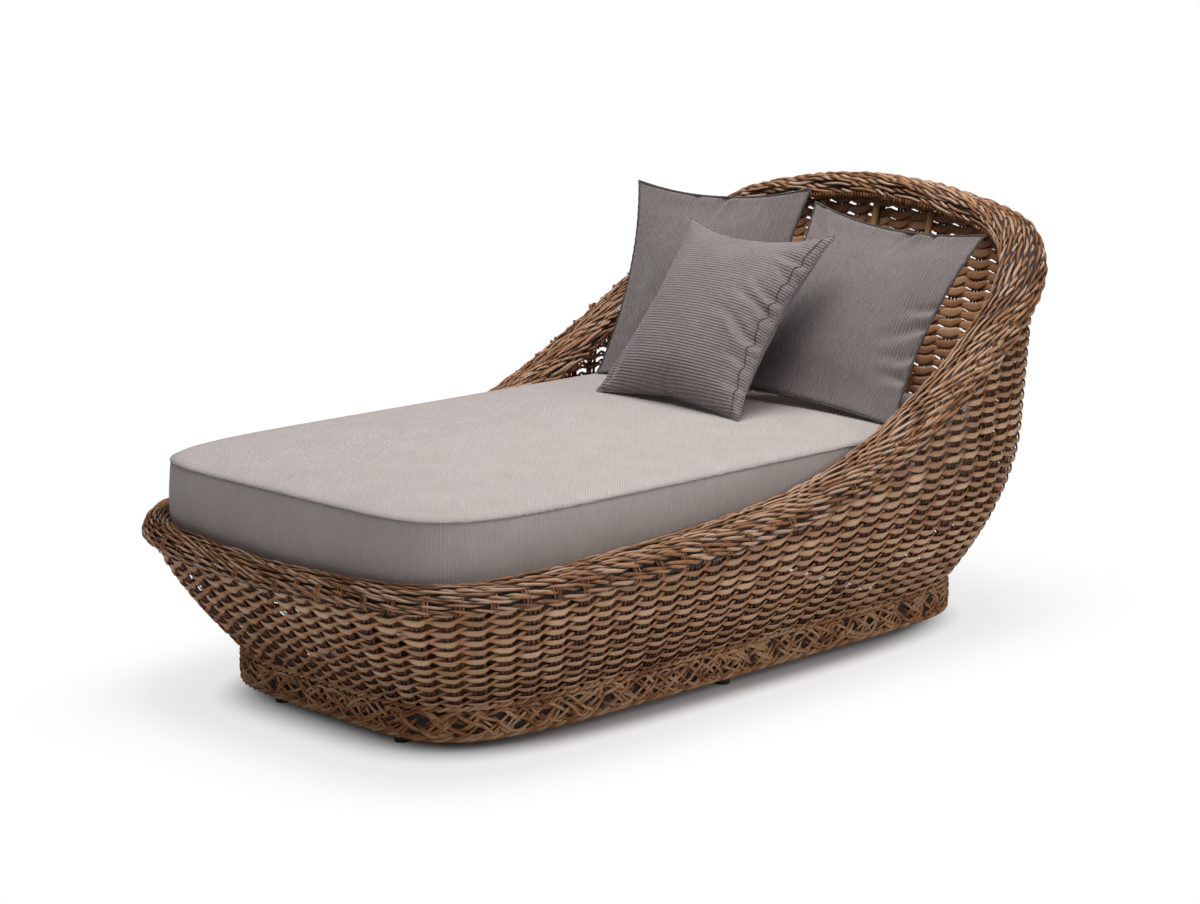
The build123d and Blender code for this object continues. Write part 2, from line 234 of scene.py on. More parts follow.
def strandMaterial(name, stops, roughness, grain, toneSpread, tips=None):
    # Split rattan peel: long fine grain along the strand, each strand its own tone
    material, shader = newMaterial(name, stops[1][1], roughness, Specular_IOR_Level=0.35)
    tone, along, across = (
        addNode(material, "ShaderNodeAttribute", attribute_name=title).outputs["Fac"]
        for title in ("tone", "along", "across"))
    where = addNode(material, "ShaderNodeCombineXYZ",
                    links={"X": along, "Y": across, "Z": tone})
    stretched = addNode(material, "ShaderNodeMapping", {"Scale": (grain[0], grain[1], 37.0)},
                        {"Vector": where.outputs["Vector"]})
    fibre = addNode(material, "ShaderNodeTexNoise", {"Scale": 1.0, "Detail": 3.0},
                    {"Vector": stretched.outputs["Vector"]})
    place = addNode(material, "ShaderNodeTexCoord").outputs["Object"]
    patch = addNode(material, "ShaderNodeTexNoise", {"Scale": 9.0, "Detail": 3.0},
                    {"Vector": place})
    mixed = addNode(material, "ShaderNodeMath", {1: toneSpread}, {0: tone},
                    operation="MULTIPLY").outputs[0]
    for noise, share in ((fibre, 0.45), (patch, 0.35)):
        mixed = addNode(material, "ShaderNodeMath", {1: share},
                        {0: noise.outputs["Fac"], 2: mixed}, operation="MULTIPLY_ADD").outputs[0]
    colour = colourRamp(material, mixed, stops)
    # The tip colour mixed in here gives browner hooked ends on the wall, and painted shade on the
    # rim and the border
    if tips:
        tip = addNode(material, "ShaderNodeAttribute", attribute_name="tip").outputs["Fac"]
        blend = addNode(material, "ShaderNodeMix", {7: linear(tips)}, {0: tip, 6: colour},
                        data_type="RGBA")
        colour = blend.outputs[2]
    feed(material, shader, colour, fibre.outputs["Fac"], 0.0006, 0.7)
    return material


# Weathered natural rattan: greyed brown peel with browner ends where it hooks round
weaveMaterial = strandMaterial(
    "rattanPeelWeathered",
    [(0.15, "#453022"), (0.42, "#84624a"), (0.62, "#a88465"), (0.9, "#c4a587")],
    0.62, (55.0, 900.0), 0.42, tips="#96572a")
# Thin round core rattan, stained dark red-brown
stakeMaterial = strandMaterial(
    "rattanCoreStained", [(0.1, "#1c100b"), (0.5, "#3f2418"), (0.9, "#663f28")],
    0.6, (40.0, 600.0), 0.5)
# Twisted rattan strands of the rim, warmer and a little glossier, with painted shade where they dip
# under
rimMaterial = strandMaterial(
    "rattanRimStrands",
    [(0.15, "#35201a"), (0.42, "#71482c"), (0.62, "#986a46"), (0.92, "#b0917a")],
    0.55, (60.0, 700.0), 0.55, tips="#21130b")
# Core rattan folded over the rim's outer edge and wrapped along its inner edge
foldMaterial = strandMaterial(
    "rattanCoreWrapped", [(0.1, "#24150d"), (0.5, "#5f3a22"), (0.9, "#96673f")],
    0.58, (60.0, 600.0), 0.5)
# Plaited border strands: thin orange-brown peel, with painted shade where a strand lies deep in the
# plait
braidMaterial = strandMaterial(
    "rattanPlaitWeathered",
    [(0.15, "#38231a"), (0.42, "#774a2e"), (0.62, "#9a693f"), (0.9, "#b08d6d")],
    0.6, (55.0, 800.0), 0.55, tips="#24150c")


def darkBacking(name, colour):
    # Painted shade: the rattan pole seen in the gaps between strands, coloured as dark as it looks
    # in shadow
    material, shader = newMaterial(name, colour, 0.8)
    place = addNode(material, "ShaderNodeTexCoord").outputs["Object"]
    fleck = addNode(material, "ShaderNodeTexNoise", {"Scale": 160.0, "Detail": 4.0},
                    {"Vector": place})
    feed(material, shader, colourRamp(material, fleck.outputs["Fac"],
         [(0.3, "#160d08"), (0.7, colour)]), fleck.outputs["Fac"], 0.0008)
    return material


backingMaterial = darkBacking("rattanPolePaintedShade", "#2c1b11")


def timberMaterial(name, pale, dark, grainAxis):
    # Planed hardwood: streaks along the board, 3 to 6 mm apart
    material, shader = newMaterial(name, pale, 0.55)
    place = addNode(material, "ShaderNodeTexCoord").outputs["Object"]
    scale = [240.0, 240.0, 240.0]
    scale[grainAxis] = 9.0
    stretched = addNode(material, "ShaderNodeMapping", {"Scale": scale}, {"Vector": place})
    grain = addNode(material, "ShaderNodeTexNoise", {"Scale": 1.0, "Detail": 5.0},
                    {"Vector": stretched.outputs["Vector"]})
    feed(material, shader, colourRamp(material, grain.outputs["Fac"],
         [(0.3, dark), (0.7, pale)]), grain.outputs["Fac"], 0.0004)
    return material


slatMaterial = timberMaterial("acaciaSlatPlaned", "#a8865f", "#7d5f41", 0)
railMaterial = timberMaterial("acaciaRailPlaned", "#a8865f", "#7d5f41", 1)
poleMaterial = timberMaterial("rattanPolePeeled", "#a67c4e", "#7c5632", 2)
footMaterial = timberMaterial("beechFootStained", "#3b2a1e", "#241811", 2)

# The rim's pole and the border's backing take the painted shade colour, as only their shadowed
# parts show between strands
ownMaterials = {"rim_roll": backingMaterial, "bottom_border": backingMaterial,
                "centre_rail": railMaterial}
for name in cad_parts:
    if name.startswith(("deck_slat", "stretcher")):
        ownMaterials[name] = slatMaterial
    if name.startswith(("post_", "back_stay", "centre_post", "base_hoop", "seat_hoop", "rim_pole")):
        ownMaterials[name] = poleMaterial
    if name.startswith("foot_"):
        ownMaterials[name] = footMaterial
for name, material in ownMaterials.items():
    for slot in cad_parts[name].material_slots:
        slot.material = material
print("materials ready")

# Woven wall: rows of two strands twined round groups of three stakes
weave = {
    "columns": 90,        # groups of stakes round the tub
    "columnLength": 0.055, "rowPitch": 0.0216, "firstRow": 0.45,
    "strandWidth": 0.0150, "strandThick": 0.0030, "inOut": 0.0041,
    "hook": 0.0043,       # how far a strand climbs where it passes behind the next stakes
    "hookShare": 0.42,    # the share of a column that the climb takes
    "sag": 0.0014,
    "waves": ((0.0011, 0.83, 90), (0.0008, 2.1, 310)),  # metres, per column, per metre up
    "stray": 0.0008,      # how far single crossings lie off the row
    "reachPower": 0.6,    # below 1 a strand stays out or in for longer
    "tipShares": (0.6, 0.16), "earlyTip": 0.6, "innerTip": 0.45,
    "endShares": (0.66, 0.2), "endNarrowing": (0.52, 0.35), "widthVariety": 0.07,
    "pointsPerColumn": 8, "middle": 0.006, "corners": 6, "acrossScale": 0.006,
    "rowEnds": 0.1,       # how far a row runs on under the rim, in columns
    "stakeSpread": 0.0088, "stakeWide": 0.0038, "stakeThick": 0.0020, "stakeBend": 0.0008,
    "stakePoints": 26, "stakeCorners": 5, "stakeFoot": 0.004,
    "bands": (0.30, 0.56), "names": ("low", "middle", "top"),
    "looser": 0.8,        # how much further strands stand out towards the head corners
    "narrower": 0.27,     # how much narrower they are there
    "denser": 0.30,       # how much wider they are across the back
}
rng = np.random.default_rng(7)
columnAngles, _ = evenAngles(weave["columns"], lambda a: wallPoint(a, np.full_like(a, 0.26)))


def columnAngle(place):
    # Plan angle at a place counted in stakes, which may run past either end
    turns = np.floor(np.asarray(place) / weave["columns"])
    rest = np.asarray(place) - turns * weave["columns"]
    return np.interp(rest, np.arange(weave["columns"] + 1), columnAngles) + 360 * turns


def rimSteep(angle):
    return rimFrame(angle)[3]


def wallTop(angle):
    return rimHeight(angle) - tub["rollDepth"] * rimSteep(angle) + 0.006


def wallFrame(angle, height):
    # A point in the middle of the wall's thickness, the way out and the way up it
    inset = weave["middle"]
    point = wallPoint(angle, height, inset)
    along = wallPoint(angle + 0.4, height, inset) - wallPoint(angle - 0.4, height, inset)
    rise = wallPoint(angle, height + 0.004, inset) - wallPoint(angle, height - 0.004, inset)
    outward = unit(np.cross(along, rise))
    return point, outward, unit(rise)


def smoothStep(value):
    value = np.clip(value, 0, 1)
    return value * value * (3 - 2 * value)


def wovenRow(first, last, height):
    # The two strands of one row, twined round each other and round every stake
    count = int(round((last - first) * weave["pointsPerColumn"])) + 1
    place = np.linspace(first, last, count)
    angle = columnAngle(place)
    wander = sum(size * np.sin(place * perColumn + height * perMetre)
                 for size, perColumn, perMetre in weave["waves"])
    point, outward, upward = wallFrame(angle, height + wander)
    back = smoothStep((0.52 - np.abs(point[:, 0])) / 0.12) * (point[:, 1] > 0.3)
    corner = smoothStep((point[:, 1] - 0.15) / 0.5) * (1 - back)
    loose = weave["inOut"] * (1 + weave["looser"] * corner)
    spread = 1 + weave["denser"] * back - weave["narrower"] * corner
    hookShare = weave["hookShare"]
    tipLate, tipEarly = weave["tipShares"]
    endLate, endEarly = weave["endShares"]
    paths, tones, tips, widths = [], [], [], []
    for strand in (0, 1):
        turn = place + strand + 0.5
        front = np.cos(math.pi * (turn - 0.5))
        within = turn - np.floor(turn)
        outside = np.floor(turn).astype(int) % 2 == 0
        climb = np.where(outside, smoothStep((within - 1 + hookShare) / hookShare),
                         1 - smoothStep(within / hookShare))
        steps = rng.normal(0, 1, (weave["columns"] + 4) * 2)
        which = np.floor(turn).astype(int) % len(steps)
        lift = weave["hook"] * (2 * climb - 1) - weave["sag"] * np.maximum(front, 0) ** 2
        lift = lift + weave["stray"] * (1 + corner) * steps[which] * np.abs(front)
        reach = np.sign(front) * np.abs(front) ** weave["reachPower"]
        paths.append(point + outward * (loose * reach)[:, None] + upward * lift[:, None])
        tones.append(np.clip(0.5 + 0.2 * steps[which] + 0.10 * rng.normal(), 0, 1))
        tips.append(np.where(outside, smoothStep((within - tipLate) / (1 - tipLate))
                             + weave["earlyTip"] * smoothStep((tipEarly - within) / tipEarly),
                             weave["innerTip"]))
        narrow = (1 - weave["endNarrowing"][0] * smoothStep((within - endLate) / (1 - endLate))
                  - weave["endNarrowing"][1] * smoothStep((endEarly - within) / endEarly))
        widths.append(weave["strandWidth"] / 2 * spread * narrow
                      * (1 + weave["widthVariety"] * steps[which]))
    alongs = np.tile(place * weave["columnLength"], 2)
    return (np.array(paths), np.array([outward] * 2), np.array([upward] * 2),
            np.concatenate(tones), np.concatenate(tips), alongs, np.array(widths))


def rowsToPiece(name, rows):
    vertices, faces, tones, tips, alongs = [], [], [], [], []
    corners = weave["corners"]
    for first, last, height in rows:
        paths, sides, ups, tone, tip, along, widths = wovenRow(first, last, height)
        flat, quads = sweepStrips(paths, sides, ups, widths, weave["strandThick"] / 2, corners,
                                  False)
        offset = len(tones) * corners
        faces += [[corner + offset for corner in quad] for quad in quads]
        vertices.append(flat)
        tones += list(tone)
        tips += list(tip)
        alongs += list(along)
    piece = newPiece(name, np.concatenate(vertices), faces, weaveMaterial, "frame")
    turn = np.cos(np.linspace(0, 2 * math.pi, corners, endpoint=False)) * weave["acrossScale"]
    paintStrands(piece, corners, turn, tone=tones, tip=tips, along=alongs)
    return piece


weaveRows = {name: [] for name in weave["names"]}
probe = np.linspace(0, weave["columns"], weave["columns"] * 8 + 1)
probeTop = wallTop(columnAngle(probe))
level = tub["wallFoot"] + weave["rowPitch"] * weave["firstRow"]
while level < probeTop.max():
    reached = probe[level < probeTop]
    band = weave["names"][int(np.searchsorted(weave["bands"], level))]
    if len(reached) == len(probe):
        weaveRows[band].append((0, weave["columns"], level))
    else:
        weaveRows[band].append((reached.min() - weave["rowEnds"],
                                reached.max() + weave["rowEnds"], level))
    level += weave["rowPitch"]
wallPieces = [rowsToPiece("woven_rows_" + name, rows) for name, rows in weaveRows.items()]

# Stakes: three thin ones side by side that every strand passes
stakePaths, stakeSides, stakeUps = [], [], []
for column in range(weave["columns"]):
    angle = float(columnAngle(column))
    top = float(wallTop(np.array(angle)))
    heights = np.linspace(tub["wallFoot"] - weave["stakeFoot"], top, weave["stakePoints"])
    point, outward, upward = wallFrame(np.full_like(heights, angle), heights)
    sideways = unit(np.cross(upward, outward))
    for stake in (-1, 0, 1):
        bend = rng.normal(0, weave["stakeBend"])
        stakePaths.append(point + sideways * (stake * weave["stakeSpread"] + bend))
        stakeSides.append(outward)
        stakeUps.append(sideways)
stakePaths = np.array(stakePaths)
flat, quads = sweepStrips(stakePaths, np.array(stakeSides), np.array(stakeUps),
                          np.full(stakePaths.shape[:2], weave["stakeWide"]),
                          weave["stakeThick"], weave["stakeCorners"], False)
stakes = newPiece("wall_stakes", flat, quads, stakeMaterial, "frame")
stakeTones = np.repeat(rng.uniform(0, 1, len(stakePaths)), weave["stakePoints"])
paintStrands(stakes, weave["stakeCorners"], np.linspace(0, 0.01, weave["stakeCorners"]),
             tone=stakeTones, along=stakePaths[:, :, 2].ravel())
for piece in (*wallPieces, stakes):
    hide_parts("woven_wall")
print("wall woven")

# Rolled rim: twisted ropes laid side by side over the pole, and the stakes folded in
rim = {
    "points": 740, "ropes": 13, "ropeTwist": 0.086, "strandShare": 0.32, "strandThick": 0.0024,
    "wander": 0.0024, "sway": 1.1, "lift": 0.22, "spread": 0.30, "proud": 0.0008, "corners": 5,
    "leaf": (0.80, 0.24, 0.10), "dipShade": (0.85, 0.45, 0.75),
    # Corners of the section: share of the width, metres out, metres up, metres up a slope
    "section": ((0, 0.012, 0, -0.031), (0, 0.0125, 0, -0.022), (0, 0.003, 0, -0.001),
                (-0.7, 0, 0.0085, 0), (-1, 0.001, 0, 0), (-1, 0, 0, -0.031)),
    "foldWide": 0.0021, "foldThick": 0.0014, "foldSpread": 0.0058, "foldStray": 0.0008,
    "foldCorners": 6, "foldStep": 0.011,
    # The way of a fold over the edge: metres out, metres up square to the rim
    "fold": ((0.0090, -0.036), (0.0132, -0.031), (0.0145, -0.022), (0.0118, -0.012),
             (0.0060, -0.005), (-0.001, -0.003)),
    "bindDrop": 0.034, "bindPitch": 0.0085, "bindSize": (0.0068, 0.019, 0.0046),
}
ringAngles, rimLength = evenAngles(rim["points"], rimPoint)
ringAngles = ringAngles[:-1]
point, heading, outward, steepness = rimFrame(ringAngles)
width = rollWidth(ringAngles)
up = np.array([0, 0, 1.0])
# Along the section from the outer lip over the crest to the inner side
edges = np.array([point + outward * (share * width + out)[:, None]
                  + up * (rise + slope * steepness)[:, None]
                  for share, out, rise, slope in rim["section"]])
spans = np.linalg.norm(np.diff(edges, axis=0), axis=2)
reach = np.concatenate([np.zeros((1, rim["points"])), np.cumsum(spans, axis=0)])
middle = point - outward * (width * 0.5)[:, None] - np.array([0, 0, 0.02])
shares = (np.arange(rim["ropes"]) + 0.5) / rim["ropes"]
paths, sides, ups, widths, tones, tips = [], [], [], [], [], []
lengths = np.arange(rim["points"]) * rimLength / rim["points"]
around = lengths / rimLength * 2 * math.pi
twists = round(rimLength / rim["ropeTwist"])
for number, share in enumerate(shares):
    wave = np.sin(around * (7 + 2 * number) + number * 1.7) * rim["wander"]
    sway = np.sin(around * (11 + 3 * number) + number) * rim["sway"]
    target = reach[-1] * share + wave
    spot = np.zeros((rim["points"], 3))
    for span in range(len(spans)):
        inside = (target >= reach[span]) & (target <= reach[span + 1] + 1e-9)
        part = np.clip((target - reach[span]) / np.maximum(spans[span], 1e-6), 0, 1)[:, None]
        spot = np.where(inside[:, None], edges[span] * (1 - part) + edges[span + 1] * part, spot)
    away = unit(spot - middle)
    away = unit(away - heading * np.sum(away * heading, axis=1, keepdims=True))
    over = unit(np.cross(heading, away))
    spacing = reach[-1] / rim["ropes"]
    full, swell, vary = rim["leaf"]
    darkest, start, fall = rim["dipShade"]
    for strand in (0, 1):
        phase = twists * around + math.pi * strand + number * 2.3 + sway
        paths.append(spot + away * (spacing * rim["lift"] * np.cos(phase) + rim["proud"])[:, None]
                     + over * (spacing * rim["spread"] * np.sin(phase))[:, None])
        sides.append(away)
        ups.append(over)
        widths.append(spacing * rim["strandShare"] * (full + swell * np.cos(phase)
                      + vary * np.sin(around * 29 + number)))
        # Painted shade on the part of each strand that dips under its neighbours
        tips.append(darkest * smoothStep(start - fall * np.cos(phase)))
        chunk = np.floor(phase / (2 * math.pi) + 0.25).astype(int)
        tones.append(rng.uniform(0.05, 0.95, twists + 9)[chunk % (twists + 5)])
paths, sides, ups, widths = (np.array(part) for part in (paths, sides, ups, widths))
flat, quads = sweepStrips(paths, sides, ups, widths, rim["strandThick"], rim["corners"], True)
rimStrands = newPiece("rim_strands", flat, quads, rimMaterial, "frame")
paintStrands(rimStrands, rim["corners"], np.linspace(0, 0.01, rim["corners"]),
             tone=np.concatenate(tones), tip=np.concatenate(tips),
             along=np.tile(lengths, len(tones)))

# The stakes turn over the outer edge in threes and tuck in under the ropes
foldPaths, foldSides, foldUps = [], [], []
for place in columnAngle(np.arange(weave["columns"])):
    spot, ahead, out = (value[0] for value in rimFrame(np.array([place, place]))[:3])
    rise = unit(np.cross(out, ahead))
    for stake in (-1, 0, 1):
        shift = ahead * (stake * rim["foldSpread"] + rng.normal(0, rim["foldStray"]))
        path = np.array([spot + shift + out * across + rise * abs(rise[2]) / rise[2] * height
                         for across, height in rim["fold"]])
        tangent = unit(np.gradient(path, axis=0))
        foldPaths.append(path)
        foldUps.append(np.array([ahead] * len(path)))
        foldSides.append(unit(np.cross(np.array([ahead] * len(path)), tangent)))
foldPaths = np.array(foldPaths)
foldCount, foldPoints = foldPaths.shape[:2]
flat, quads = sweepStrips(foldPaths, np.array(foldSides), np.array(foldUps),
                          np.full((foldCount, foldPoints), rim["foldWide"]), rim["foldThick"],
                          rim["foldCorners"], False)
folds = newPiece("rim_stake_folds", flat, quads, foldMaterial, "frame")
paintStrands(folds, rim["foldCorners"], np.linspace(0, 0.01, rim["foldCorners"]),
             tone=np.repeat(rng.uniform(0, 0.9, foldCount), foldPoints),
             along=np.tile(np.arange(foldPoints) * rim["foldStep"], foldCount))


def beadTree():
    # Geometry Nodes: small rounded wraps or stitches, set evenly along a line
    tree = bpy.data.node_groups.new("beadRow", "GeometryNodeTree")
    face = tree.interface
    face.new_socket("Geometry", in_out="INPUT", socket_type="NodeSocketGeometry")
    for title in ("Pitch", "Along", "Tall", "Deep"):
        face.new_socket(title, in_out="INPUT", socket_type="NodeSocketFloat")
    face.new_socket("Finish", in_out="INPUT", socket_type="NodeSocketMaterial")
    face.new_socket("Geometry", in_out="OUTPUT", socket_type="NodeSocketGeometry")
    source = addNode(tree, "NodeGroupInput").outputs
    curve = addNode(tree, "GeometryNodeMeshToCurve", links={"Mesh": source["Geometry"]})
    level = addNode(tree, "GeometryNodeSetCurveNormal", links={"Curve": curve.outputs[0]},
                    mode="Z_UP")
    spread = addNode(tree, "GeometryNodeCurveToPoints", mode="LENGTH",
                     links={"Curve": level.outputs[0], "Length": source["Pitch"]})
    chance = addNode(tree, "FunctionNodeRandomValue", {"Seed": 11}, data_type="FLOAT")
    toned = addNode(tree, "GeometryNodeStoreNamedAttribute", {"Name": "tone"},
                    {"Geometry": spread.outputs["Points"], "Value": chance.outputs[1]},
                    data_type="FLOAT", domain="POINT")
    ball = addNode(tree, "GeometryNodeMeshUVSphere", {"Segments": 6, "Rings": 4, "Radius": 0.5})
    size = addNode(tree, "ShaderNodeCombineXYZ", links={"X": source["Deep"], "Y": source["Tall"],
                   "Z": source["Along"]})
    placed = addNode(tree, "GeometryNodeInstanceOnPoints", links={
        "Points": toned.outputs[0], "Instance": ball.outputs["Mesh"],
        "Rotation": spread.outputs["Rotation"], "Scale": size.outputs[0]})
    real = addNode(tree, "GeometryNodeRealizeInstances", links={"Geometry": placed.outputs[0]})
    finish = addNode(tree, "GeometryNodeSetMaterial",
                     links={"Geometry": real.outputs[0], "Material": source["Finish"]})
    addNode(tree, "NodeGroupOutput", links={"Geometry": finish.outputs[0]})
    return tree


beadRow = beadTree()


def beadsAlong(name, path, material, body, closed=True, **sizes):
    # Wraps or stitches along a path, kept as plain mesh
    mesh = bpy.data.meshes.new(name + "Line")
    edges = [(n, n + 1) for n in range(len(path) - 1)]
    mesh.from_pydata([tuple(p) for p in path], edges + [(len(path) - 1, 0)] * closed, [])
    line = bpy.data.objects.new(name + "Line", mesh)
    bpy.context.collection.objects.link(line)
    modifier = line.modifiers.new("beads", "NODES")
    modifier.node_group = beadRow
    for item in beadRow.interface.items_tree:
        if item.in_out == "INPUT" and item.name in sizes:
            modifier[item.identifier] = sizes[item.name]
        if item.in_out == "INPUT" and item.name == "Finish":
            modifier[item.identifier] = material
    graph = bpy.context.evaluated_depsgraph_get()
    result = bpy.data.meshes.new_from_object(line.evaluated_get(graph))
    bpy.data.objects.remove(line)
    result.name = name
    result.polygons.foreach_set("use_smooth", [True] * len(result.polygons))
    piece = bpy.data.objects.new(name, result)
    bpy.context.collection.objects.link(piece)
    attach(piece, body)
    return piece


innerLine = point - outward * (width + 0.001)[:, None] \
    - up * (rim["bindDrop"] * steepness)[:, None]
wrapLong, wrapTall, wrapDeep = rim["bindSize"]
innerWraps = beadsAlong("rim_binding_inner", innerLine, foldMaterial, "frame",
                        Pitch=rim["bindPitch"], Along=wrapLong, Tall=wrapTall, Deep=wrapDeep)
print("rim rolled")

# Plaited border: thin strands that cross in long diagonals, with a rope along each edge
braid = {"points": 900, "plaits": (21, 26, 31), "strands": 14, "strandWidth": 0.0064,
         "thick": 0.0046, "swing": 0.0235, "height": 0.0570, "proud": 0.0012, "depth": 0.0046,
         "wander": 0.0040, "sharp": 0.94, "fullSwing": 0.95, "uneven": 0.5, "corners": 6,
         "widthVariety": 0.2, "dipShade": (0.8, 0.35, 0.75)}
angles, baseLength = evenAngles(
    braid["points"], lambda a: wallPoint(a, np.full_like(a, tub["wallFoot"])))
angles = angles[:-1]
footHeights = np.full_like(angles, tub["wallFoot"])
flatOut = unit(wallFrame(angles, footHeights)[1] * np.array([1, 1, 0]))
edge = wallPoint(angles, footHeights)
course = np.arange(braid["points"]) / braid["points"] * 2 * math.pi
darkest, start, fall = braid["dipShade"]
paths, widths, chunks, tips = [], [], [], []
for strand in range(braid["strands"]):
    phase = course * braid["plaits"][strand % 3] + strand * 2 * math.pi / braid["strands"]
    phase = phase + braid["uneven"] * np.sin(course * (9 + strand) + strand)
    wander = braid["wander"] * np.sin(course * (8 + strand) + strand * 1.9)
    zigzag = np.arcsin(braid["sharp"] * np.sin(phase)) / math.asin(braid["sharp"])
    lift = braid["height"] + braid["swing"] * zigzag * braid["fullSwing"] \
        + wander * np.cos(phase) ** 2 - tub["wallFoot"]
    depth = np.sin(2 * phase + 0.6 + strand * 1.3)
    paths.append(edge + flatOut * (braid["proud"] + braid["depth"] * depth)[:, None]
                 + up * lift[:, None])
    widths.append(braid["strandWidth"] / 2
                  * (1 + braid["widthVariety"] * np.sin(course * 17 + strand)))
    chunks.append(np.floor(phase / math.pi).astype(int) % 60 + 61 * strand)
    # Painted shade where the strand lies deep behind the others
    tips.append(darkest * smoothStep(start - fall * depth))
paths = np.array(paths)
ahead = unit(np.roll(paths, -1, 1) - np.roll(paths, 1, 1))
sides = np.array([flatOut] * braid["strands"])
flat, quads = sweepStrips(paths, sides, unit(np.cross(sides, ahead)), np.array(widths),
                          braid["thick"] / 2, braid["corners"], True)
border = newPiece("border_plait", flat, quads, braidMaterial, "frame")
tones = rng.uniform(0.05, 0.95, 61 * braid["strands"])[np.concatenate(chunks)]
paintStrands(border, braid["corners"], np.linspace(0, 0.016, braid["corners"]), tone=tones,
             tip=np.concatenate(tips),
             along=np.tile(course / 2 / math.pi * baseLength, braid["strands"]))


def ropeAlong(name, path, radius, pitch, strands):
    # A rope of round strands twisted round a closed path
    count = len(path)
    ahead = unit(np.roll(path, -1, 0) - np.roll(path, 1, 0))
    outward = unit(np.cross(ahead, up))
    over = np.cross(outward, ahead)
    length = np.linalg.norm(np.roll(path, -1, 0) - path, axis=1).sum()
    wind = np.arange(count) / count * 2 * math.pi * round(length / pitch)
    turn = np.linspace(0, 2 * math.pi, 6, endpoint=False)
    rings = []
    for strand in range(strands):
        phase = wind + strand * 2 * math.pi / strands
        centre = path + (outward * np.cos(phase)[:, None] + over * np.sin(phase)[:, None]) \
            * radius * 0.5
        rings.append(centre[:, None] + (outward[:, None] * np.cos(turn)[None, :, None]
                     + over[:, None] * np.sin(turn)[None, :, None]) * radius * 0.62)
    rings = np.array(rings)
    index = np.arange(rings[..., 0].size).reshape(rings.shape[:3])
    after = np.roll(index, -1, 1)
    quads = np.stack([index, np.roll(index, -1, 2), np.roll(after, -1, 2), after], -1)
    piece = newPiece(name, rings.reshape(-1, 3), quads.reshape(-1, 4).tolist(), braidMaterial,
                     "frame")
    paintStrands(piece, len(turn), turn / 100,
                 tone=0.5 + 0.4 * np.sin(np.arange(strands * count) * 0.11),
                 along=np.tile(np.arange(count) * length / count, strands))
    return piece


# Edge ropes: metres out and up from the wall's foot, radius, pitch and strands
for name, out, lift, radius, pitch, strands in (
        ("border_rope_top", 0.002, -0.002, 0.0050, 0.034, 2),
        ("border_rope_bottom", -0.0015, -0.0585, 0.0064, 0.060, 3)):
    rope = ropeAlong(name, edge + flatOut * out + up * lift, radius, pitch, strands)
print("border plaited")

# Soft pieces: a boxed mattress and three scatter cushions, filled as cloth
soft = {
    "frames": 20, "pressure": 4.0, "mattressCap": 0.007, "cushionCap": 0.022,
    "canvasPale": "#b3aaa7", "canvasDark": "#978e8b", "canvasRib": 4.4,
    "pipingPale": "#5a5553", "pipingDark": "#35312f",
}


def clothMaterial(name, pale, dark, ribMm, sheen, axes=(0, 0, 0), boxedBelow=None, grain=1.0,
                  ribShare=0.20, relief=0.8):
    # Woven outdoor cloth: fine ribs with soft slubs; a boxed piece has upright ribs below
    # its seam, set out by the along attribute
    material, shader = newMaterial(name, pale, 0.9, Sheen_Weight=sheen, Sheen_Roughness=0.5,
                                   Specular_IOR_Level=0.2)
    place = addNode(material, "ShaderNodeTexCoord").outputs["Object"]
    turned = addNode(material, "ShaderNodeMapping", {"Rotation": axes}, {"Vector": place},
                     vector_type="TEXTURE")
    split = addNode(material, "ShaderNodeSeparateXYZ", links={"Vector": turned.outputs["Vector"]})
    across = split.outputs["X"]
    if boxedBelow:
        around = addNode(material, "ShaderNodeAttribute", attribute_name="along").outputs["Fac"]
        below = addNode(material, "ShaderNodeMath", {1: boxedBelow}, {0: split.outputs["Z"]},
                        operation="LESS_THAN").outputs[0]
        across = addNode(material, "ShaderNodeMix", {}, {0: below, 2: across, 3: around},
                         data_type="FLOAT").outputs[0]
    bend = addNode(material, "ShaderNodeTexNoise", {"Scale": 22.0, "Detail": 2.0},
                   {"Vector": place}).outputs["Fac"]
    swayed = addNode(material, "ShaderNodeMath", {1: 0.0022}, {0: bend, 2: across},
                     operation="MULTIPLY_ADD").outputs[0]
    rib = addNode(material, "ShaderNodeMath", {1: 2 * math.pi / (ribMm / 1000)}, {0: swayed},
                  operation="MULTIPLY").outputs[0]
    ribs = addNode(material, "ShaderNodeMath", links={0: rib}, operation="SINE").outputs[0]
    slubs = addNode(material, "ShaderNodeMapping",
                    {"Scale": (650.0 * grain, 70.0 * grain, 70.0 * grain)},
                    {"Vector": turned.outputs["Vector"]})
    slub = addNode(material, "ShaderNodeTexNoise", {"Scale": 1.0, "Detail": 3.0},
                   {"Vector": slubs.outputs["Vector"]}).outputs["Fac"]
    slub = addNode(material, "ShaderNodeMath", {1: grain, 2: (1 - grain) / 2}, {0: slub},
                   operation="MULTIPLY_ADD").outputs[0]
    mottle = addNode(material, "ShaderNodeTexNoise", {"Scale": 14.0, "Detail": 3.0},
                     {"Vector": place}).outputs["Fac"]
    mixed = addNode(material, "ShaderNodeMath", {1: ribShare}, {0: ribs, 2: slub},
                    operation="MULTIPLY_ADD").outputs[0]
    mixed = addNode(material, "ShaderNodeMath", {1: 0.3}, {0: mottle, 2: mixed},
                    operation="MULTIPLY_ADD").outputs[0]
    height = addNode(material, "ShaderNodeMath", {1: 0.9}, {0: ribs, 2: slub},
                     operation="MULTIPLY_ADD").outputs[0]
    feed(material, shader, colourRamp(material, mixed, [(0.34, dark), (0.96, pale)]), height,
         0.0009, relief)
    return material


